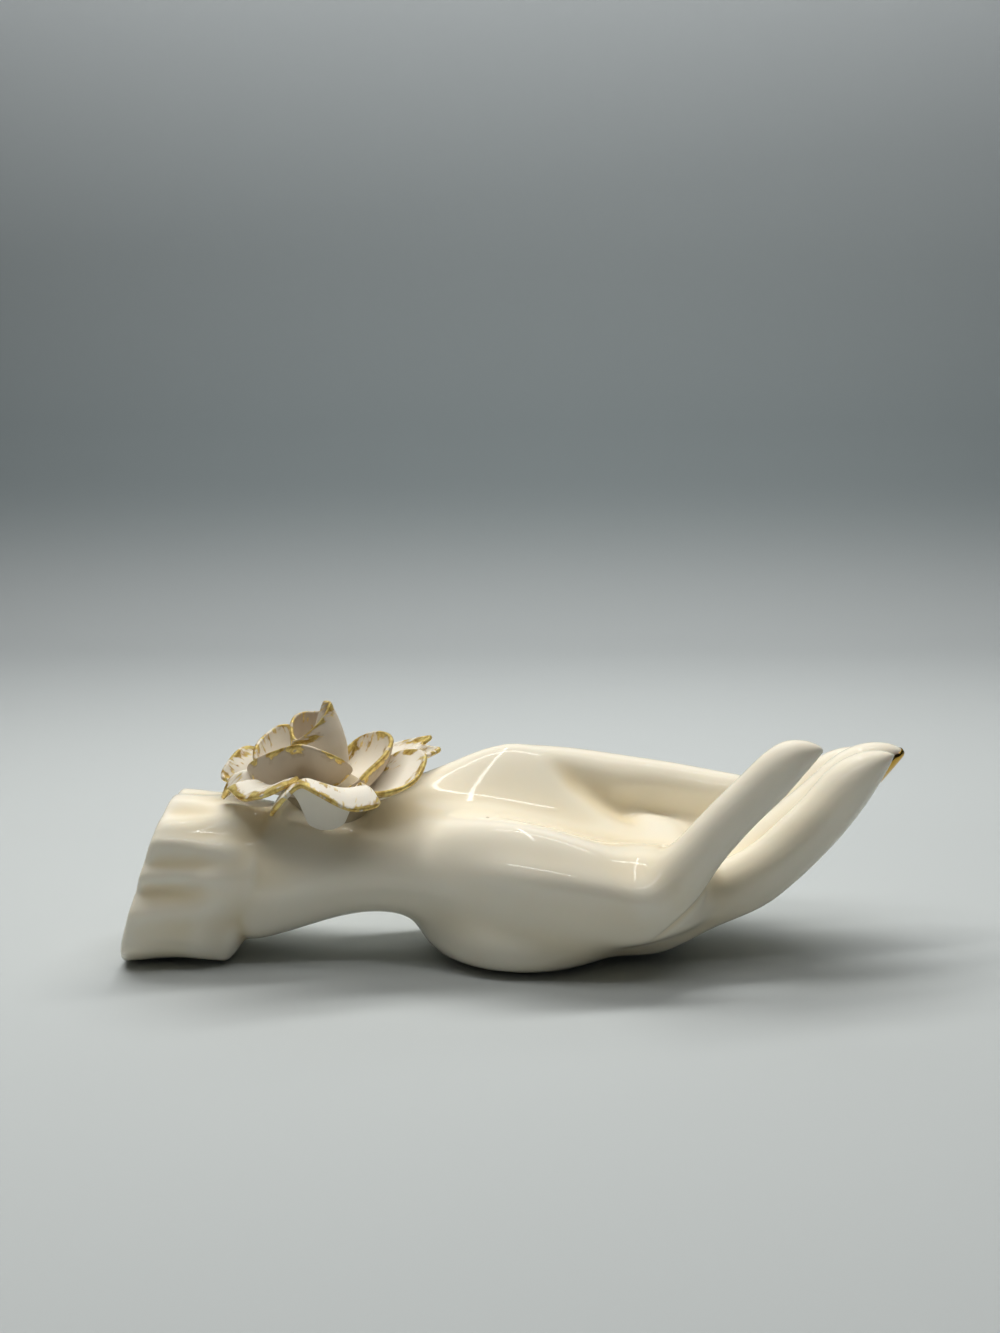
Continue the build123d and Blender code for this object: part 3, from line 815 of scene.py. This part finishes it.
# %% [markdown]
# ## Petals
# A petal is a bent blade. It starts at a foot under the rose, passes near a guide point and ends
# at an edge line. The edge line is given as bearing, radius and height round the rose's axis,
# which is how it was read from the photograph. Smooth curves run through the edge points, and
# the blade is two such faces with a thin rim between them.

# %% Petal surface
ROSE_X = -57.0
ROSE_Z = 43.5
ACROSS_STEPS = 45
ALONG_STEPS = 27
# How far the edge's waves turn from side to side, in radians, up and down and in and out
WAVES_UP, WAVES_OUT = 9, 7


def through(points, shares):
    """A smooth curve through evenly spaced points, read at shares from 0 to 1."""
    knots = np.array(points, float)
    padded = np.vstack([2 * knots[0] - knots[1], knots, 2 * knots[-1] - knots[-2]])
    spot = np.clip(shares, 0, 1) * (len(knots) - 1)
    start = np.minimum(spot.astype(int), len(knots) - 2)
    t = (spot - start)[:, None]
    p0, p1, p2, p3 = (padded[start + k] for k in range(4))
    return 0.5 * (2 * p1 + (p2 - p0) * t + (2 * p0 - 5 * p1 + 4 * p2 - p3) * t ** 2
                  + (3 * p1 - p0 - 3 * p2 + p3) * t ** 3)


def petal_grid(edge, foot, guide, narrow=0.5, spread=0.8, follow=0.5, wave=0.3, phase=0.0):
    """A petal's middle surface, as a grid of points in millimetres.

    edge lists bearing, radius and height from side to side; foot and guide are radius and height.
    narrow and spread say how the petal widens, and follow how far the guide takes the edge's shape."""
    u = np.linspace(0, 1, ACROSS_STEPS)
    v = np.linspace(0, 1, ALONG_STEPS)[:, None]
    bearing, radius, height = through(edge, u).T
    centre = bearing.mean()
    turn = np.radians(centre + (bearing - centre) * (narrow + (1 - narrow) * v ** spread))
    guide_r = guide[0] + follow * (radius - radius.mean())
    guide_h = guide[1] + follow * (height - height.mean())
    r = (1 - v) ** 2 * foot[0] + 2 * v * (1 - v) * guide_r + v ** 2 * radius
    h = (1 - v) ** 2 * foot[1] + 2 * v * (1 - v) * guide_h + v ** 2 * height
    h = h + wave * v ** 2 * np.sin(WAVES_UP * u + phase)
    r = r + wave * v ** 2 * np.cos(WAVES_OUT * u + 2 * phase)
    return np.stack([ROSE_X + r * np.cos(turn), r * np.sin(turn), ROSE_Z + h + 0 * turn], axis=2)


print("petal surface:", ACROSS_STEPS, "by", ALONG_STEPS, "points")

# %% Petal blade
EDGE_BEAD, BEAD_REACH = 0.25, 1.3
FOOT_CLEAR = 10.0
FREE_SIDE = (0.3, 0.65)
ABOVE_ROSE = 40
PATCH_SHIFT = 41.0


def sheet_normals(grid):
    """The direction across the sheet at each point of a grid."""
    across = np.gradient(grid, axis=1)
    along = np.gradient(grid, axis=0)
    normal = np.cross(across, along)
    return normal / np.linalg.norm(normal, axis=2, keepdims=True)


def blade_lengths(grid):
    """Lengths at each point of a grid: from the middle line, from the foot and to the nearest edge."""
    rows, columns = grid.shape[:2]
    step_across = np.linalg.norm(np.diff(grid, axis=1), axis=2)
    step_along = np.linalg.norm(np.diff(grid, axis=0), axis=2)
    across = np.pad(np.cumsum(step_across, axis=1), ((0, 0), (1, 0)))
    along = np.pad(np.cumsum(step_along, axis=0), ((1, 0), (0, 0)))
    # The sides of the foot are stuck down, so only the free part of a side counts as an edge
    stuck = FOOT_CLEAR * (1 - smooth_step(np.linspace(0, 1, rows), *FREE_SIDE))[:, None]
    to_side = np.minimum(across, across[:, -1:] - across) + stuck
    to_edge = np.minimum(along[-1:] - along, to_side)
    return across - across[:, columns // 2, None], along, to_edge


def blade_faces(rows, columns):
    """The inner face, the outer face and the rim between them, over two layers of points."""
    count = rows * columns
    ids = np.arange(count).reshape(rows, columns)
    corners = [ids[:-1, :-1], ids[:-1, 1:], ids[1:, 1:], ids[1:, :-1]]
    quads = np.stack(corners, axis=2).reshape(-1, 4)
    border = np.concatenate([ids[0, :-1], ids[:-1, -1], ids[-1, :0:-1], ids[:0:-1, 0]])
    ahead = np.roll(border, -1)
    rim = np.stack([border, border + count, ahead + count, ahead], axis=1)
    return [tuple(f) for f in np.concatenate([quads, quads[:, ::-1] + count, rim])]


def blade_mesh(name, grid, thick, painted_shade, gild, order):
    """A closed blade round a surface, with the lengths that the gilding needs."""
    rows, columns = grid.shape[:2]
    across, along, to_edge = blade_lengths(grid)
    plump = thick * (1 + EDGE_BEAD * np.exp(-(to_edge / BEAD_REACH) ** 2))
    normal = sheet_normals(grid)
    # The inner face is the one that looks towards a point above the rose
    middle = (rows // 2, columns // 2)
    if normal[middle] @ (grid[middle] - np.array([ROSE_X, 0, ROSE_Z + ABOVE_ROSE])) > 0:
        normal = -normal
    layers = [grid + normal * plump[..., None] / 2, grid - normal * plump[..., None] / 2]
    points = np.concatenate([layer.reshape(-1, 3) for layer in layers])
    mesh = bpy.data.meshes.new(name)
    mesh.from_pydata([tuple(p) for p in points * MM], [], blade_faces(rows, columns))
    # Each petal reads the brush marks at a stretch of its own
    lengths = np.stack([across, along + PATCH_SHIFT * order, to_edge], axis=2).reshape(-1, 3)
    both_faces = np.concatenate([lengths, lengths]).astype(np.float32)
    stored = mesh.attributes.new("blade", "FLOAT_VECTOR", "POINT")
    stored.data.foreach_set("vector", both_faces.ravel())
    # Each face also stores its tint of painted shade and its extra width of gold
    for kind, values in (("inner_face", (1.0, 0.0)), ("painted_shade", painted_shade), ("gild", gild)):
        side = mesh.attributes.new(kind, "FLOAT", "POINT")
        side.data.foreach_set("value", np.repeat(values, rows * columns).astype(np.float32))
    mesh.shade_smooth()
    return mesh


print("petal blade:", len(blade_faces(ALONG_STEPS, ACROSS_STEPS)), "faces")

# %% Petal piece
PETAL_THICK = 1.1


def place_blade(name, node, grid, thick=PETAL_THICK, painted_shade=(0.1, 0.1), gild=(0.0, 0.0), order=0):
    """Put a gilded blade in the place of a CAD petal.

    painted_shade is its tint of painted shade and warm bounced light, and gild its extra width of gold
    in millimetres, each inside and outside."""
    mesh = blade_mesh(name, grid, thick, painted_shade, gild, order)
    mesh.materials.append(petal_finish)
    piece = bpy.data.objects.new(name, mesh)
    bpy.context.scene.collection.objects.link(piece)
    rounding = piece.modifiers.new("rounding", "SUBSURF")
    rounding.levels = rounding.render_levels = 1
    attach(piece, "root")
    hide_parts(node)


print("petals are", PETAL_THICK, "mm thick")

# %% Petals
PETALS = {
    "inner_left": dict(
        edge=[(184, 20, 12.5), (179, 21, 14.3), (167, 21.5, 17.1), (152, 21, 19.6), (139, 19.9, 20.9),
              (125, 17.5, 19.5), (105, 14, 16)],
        foot=(6.5, 5), guide=(17, 6.5)),
    "inner_front": dict(
        edge=[(-172, 22, 9.5), (-168, 22.6, 12), (-157, 20.8, 15.1), (-139, 19.8, 17.9),
              (-118, 18.1, 20.5), (-103, 17.4, 20.7), (-81, 16.2, 17.9), (-64, 14.5, 15.3),
              (-47, 11.5, 12.8), (-40, 10, 11.8)],
        foot=(6.5, 5), guide=(17, 6.5), narrow=0.05, spread=1.9),
    "inner_right": dict(
        edge=[(88, 12, 11), (74, 14.5, 14), (64, 17.9, 16.7), (43, 19, 18.8), (18, 19.2, 18.1),
              (-7, 16.9, 15.3), (-34, 14.8, 12.2), (-51, 14.6, 9.5), (-62, 13, 7)],
        foot=(6.5, 5), guide=(17, 6.5)),
    "outer_front": dict(
        edge=[(-110, 26, 7), (-116, 28.9, 2.6), (-107, 29.2, 7.8), (-99, 28.3, 11.1), (-90, 30, 10),
              (-73, 31.3, 5.3), (-60, 31.2, 5.1), (-55, 29.2, 5.7), (-58, 25, 6.5)],
        foot=(15, -4), guide=(20, 17), narrow=0.15, spread=0.2, follow=0.0, wave=0.1),
    "outer_front_left": dict(
        edge=[(-178, 20, 8), (-172, 27, 8.5), (-165, 30.5, 3.2), (-153, 29.8, 7.2), (-138, 29.6, 6.0),
              (-129, 29.6, 6.6), (-119, 28.6, 7.8), (-110, 26.7, 10), (-103, 22, 11)],
        foot=(7, 2.5), guide=(22, 13)),
    "outer_left": dict(
        edge=[(190, 21, 6.5), (184, 28, 7.5), (179, 30.7, 8.6), (172, 29.8, 11.6), (160, 28.3, 14.3),
              (150, 25.7, 13.8), (142, 19, 11)],
        foot=(7, 3), guide=(18, 4)),
    "outer_back": dict(
        edge=[(138, 18, 8), (132, 25, 10), (120, 29, 11.5), (108, 30, 11), (95, 28.5, 10), (84, 24, 9),
              (80, 18, 7.5)],
        foot=(7, 3), guide=(18, 5)),
    "outer_back_right": dict(
        edge=[(62, 18, 9), (56, 26, 12), (46, 33, 14), (41, 38.4, 14.8), (37.5, 33.5, 13.4),
              (32, 37.9, 12.2), (26, 31, 11.5), (22, 24, 10.5), (20, 17, 9)],
        foot=(7, 3), guide=(22, 7), wave=0.15),
    "outer_right": dict(
        edge=[(30, 17, 10), (24, 23, 13.4), (6, 27.8, 15), (-8, 28.8, 13.7), (-29, 28.5, 9.3),
              (-45, 25.4, 7.4), (-56, 21.5, 7.1), (-60, 16, 6)],
        foot=(7.5, 3), guide=(18, 3.5)),
}
WAVE_TURN = 1.7
# Tint of painted shade and warm bounced light, on the inner face and on the outer face
INNER_PAINTED_SHADE = (0.12, 0.75)
OUTER_PAINTED_SHADE = (0.05, 0.08)
# Extra width of gold in millimetres, inside and outside
GILDING = {"inner_left": (-0.4, 0.0), "inner_front": (-0.2, -0.5), "inner_right": (0.6, 0.4),
           "outer_front": (0.8, 0.8), "outer_front_left": (1.6, 1.4), "outer_left": (-0.4, 0.0),
           "outer_back": (0.0, 0.0), "outer_back_right": (0.6, 0.6), "outer_right": (1.2, 0.8)}
for order, (place, shape) in enumerate(PETALS.items()):
    grid = petal_grid(phase=WAVE_TURN * order, **shape)
    painted_shade = INNER_PAINTED_SHADE if place.startswith("inner") else OUTER_PAINTED_SHADE
    place_blade(f"gilded_petal_{place}", f"rose_petal_{place}", grid, painted_shade=painted_shade,
                gild=GILDING[place], order=order)
print("petals:", len(PETALS))

# %% [markdown]
# ## Bud
# The heart of the rose is one strip of clay, rolled up into a pointed cone, with a last petal
# wrapped loosely round its left side. A rolled strip is a spiral: the radius grows a little with
# every turn, and the upper edge falls from the tip to the outer end.

# %% Rolled bud
ROLL_TURNS = 1.4
ROLL_START = math.radians(354)
# Share of the cone's radius where the roll starts, and the power with which it grows to all of it
ROLL_CORE, ROLL_GROWTH = 0.35, 0.7
BUD_FOOT, BUD_TIP = 8.5, 30.0
BUD_FALL, FALL_FROM = 10.3, 0.82
BUD_FLARE, FLARE_FROM = 4.6, 0.7
# The cone's radius at heights above the rose's foot
BUD_HEIGHTS = (8.5, 13, 18, 22, 26, 29, 30)
BUD_RADII = (5.0, 6.8, 6.2, 4.9, 3.1, 1.3, 0.6)
BUD_ACROSS, BUD_ALONG = 110, 30
BUD_THICK = 0.8
bud_u = np.linspace(0, 1, BUD_ACROSS)
bud_v = np.linspace(0, 1, BUD_ALONG)[:, None]
roll_angle = ROLL_START - 2 * math.pi * ROLL_TURNS * bud_u
roll_top = BUD_TIP - BUD_FALL * smooth_step(bud_u, FALL_FROM, 1.0)
roll_h = BUD_FOOT + (roll_top - BUD_FOOT) * bud_v
cone = np.interp(roll_h, BUD_HEIGHTS, BUD_RADII)
grown = ROLL_CORE + (1 - ROLL_CORE) * bud_u ** ROLL_GROWTH
roll_r = cone * grown + BUD_FLARE * smooth_step(bud_u, FLARE_FROM, 1.0)
roll_x, roll_y = ROSE_X + roll_r * np.cos(roll_angle), roll_r * np.sin(roll_angle)
bud_grid = np.stack([roll_x, roll_y, ROSE_Z + roll_h], axis=2)
# The bud sits deep in the rose, so it takes a strong tint of painted shade
place_blade("rolled_bud", "rose_bud", bud_grid, BUD_THICK, painted_shade=(0.5, 0.35), gild=(1.8, 2.6),
            order=len(PETALS) + 1)
print("bud: rolled", ROLL_TURNS, "turns")

# %% Bud wrap
WRAP_THICK = 0.9
wrap_grid = petal_grid(
    edge=[(99, 5, 26.5), (115, 9.6, 25.5), (135, 11.2, 25.5), (155, 10.8, 25), (172, 10.3, 23.6),
          (195, 9.6, 20.5), (213, 9.1, 19.7)],
    foot=(5.5, 7), guide=(11, 14), wave=0.1)
# The wrap takes a strong tint of painted shade as well
place_blade("bud_wrap_petal", "rose_bud_wrap", wrap_grid, WRAP_THICK, painted_shade=(0.6, 0.5),
            gild=(-0.7, -0.5), order=len(PETALS) + 2)
print("bud wrap:", WRAP_THICK, "mm thick")

# %% [markdown]
# ## Rose base
# Under the petals a lump of the same clay holds the rose on the wrist. It hardly shows, so the CAD
# solid keeps its shape and only takes a plain satin finish with a little tooling. Its tan, darker than
# the petals' clay, is painted shade for the hollow under the petals.

# %% Rose base finish
shaded_base_finish, tree, shader = new_finish("satin_porcelain")
TOOL_MARK = 2.5
where = put(tree, "ShaderNodeTexCoord").outputs["Object"]
tooling = put(tree, "ShaderNodeTexNoise", {"Vector": where, "Scale": 1 / (TOOL_MARK * MM),
                                           "Detail": 2.0}).outputs[0]
# Tan darker than the petals' clay: painted shade under the petals, varied by the tooling
tone = put(tree, "ShaderNodeMix", {0: tooling, 6: linear("#a8997d"), 7: linear("#bfb194")},
           data_type="RGBA").outputs[2]
tree.links.new(tone, shader.inputs["Base Color"])
dents = put(tree, "ShaderNodeBump", {"Strength": 0.3, "Distance": 0.0003, "Height": tooling})
tree.links.new(dents.outputs[0], shader.inputs["Normal"])
shader.inputs["Roughness"].default_value = 0.45
base = nodes["rose_receptacle"]
base.data.materials.clear()
base.data.materials.append(shaded_base_finish)
print("finish:", shaded_base_finish.name)
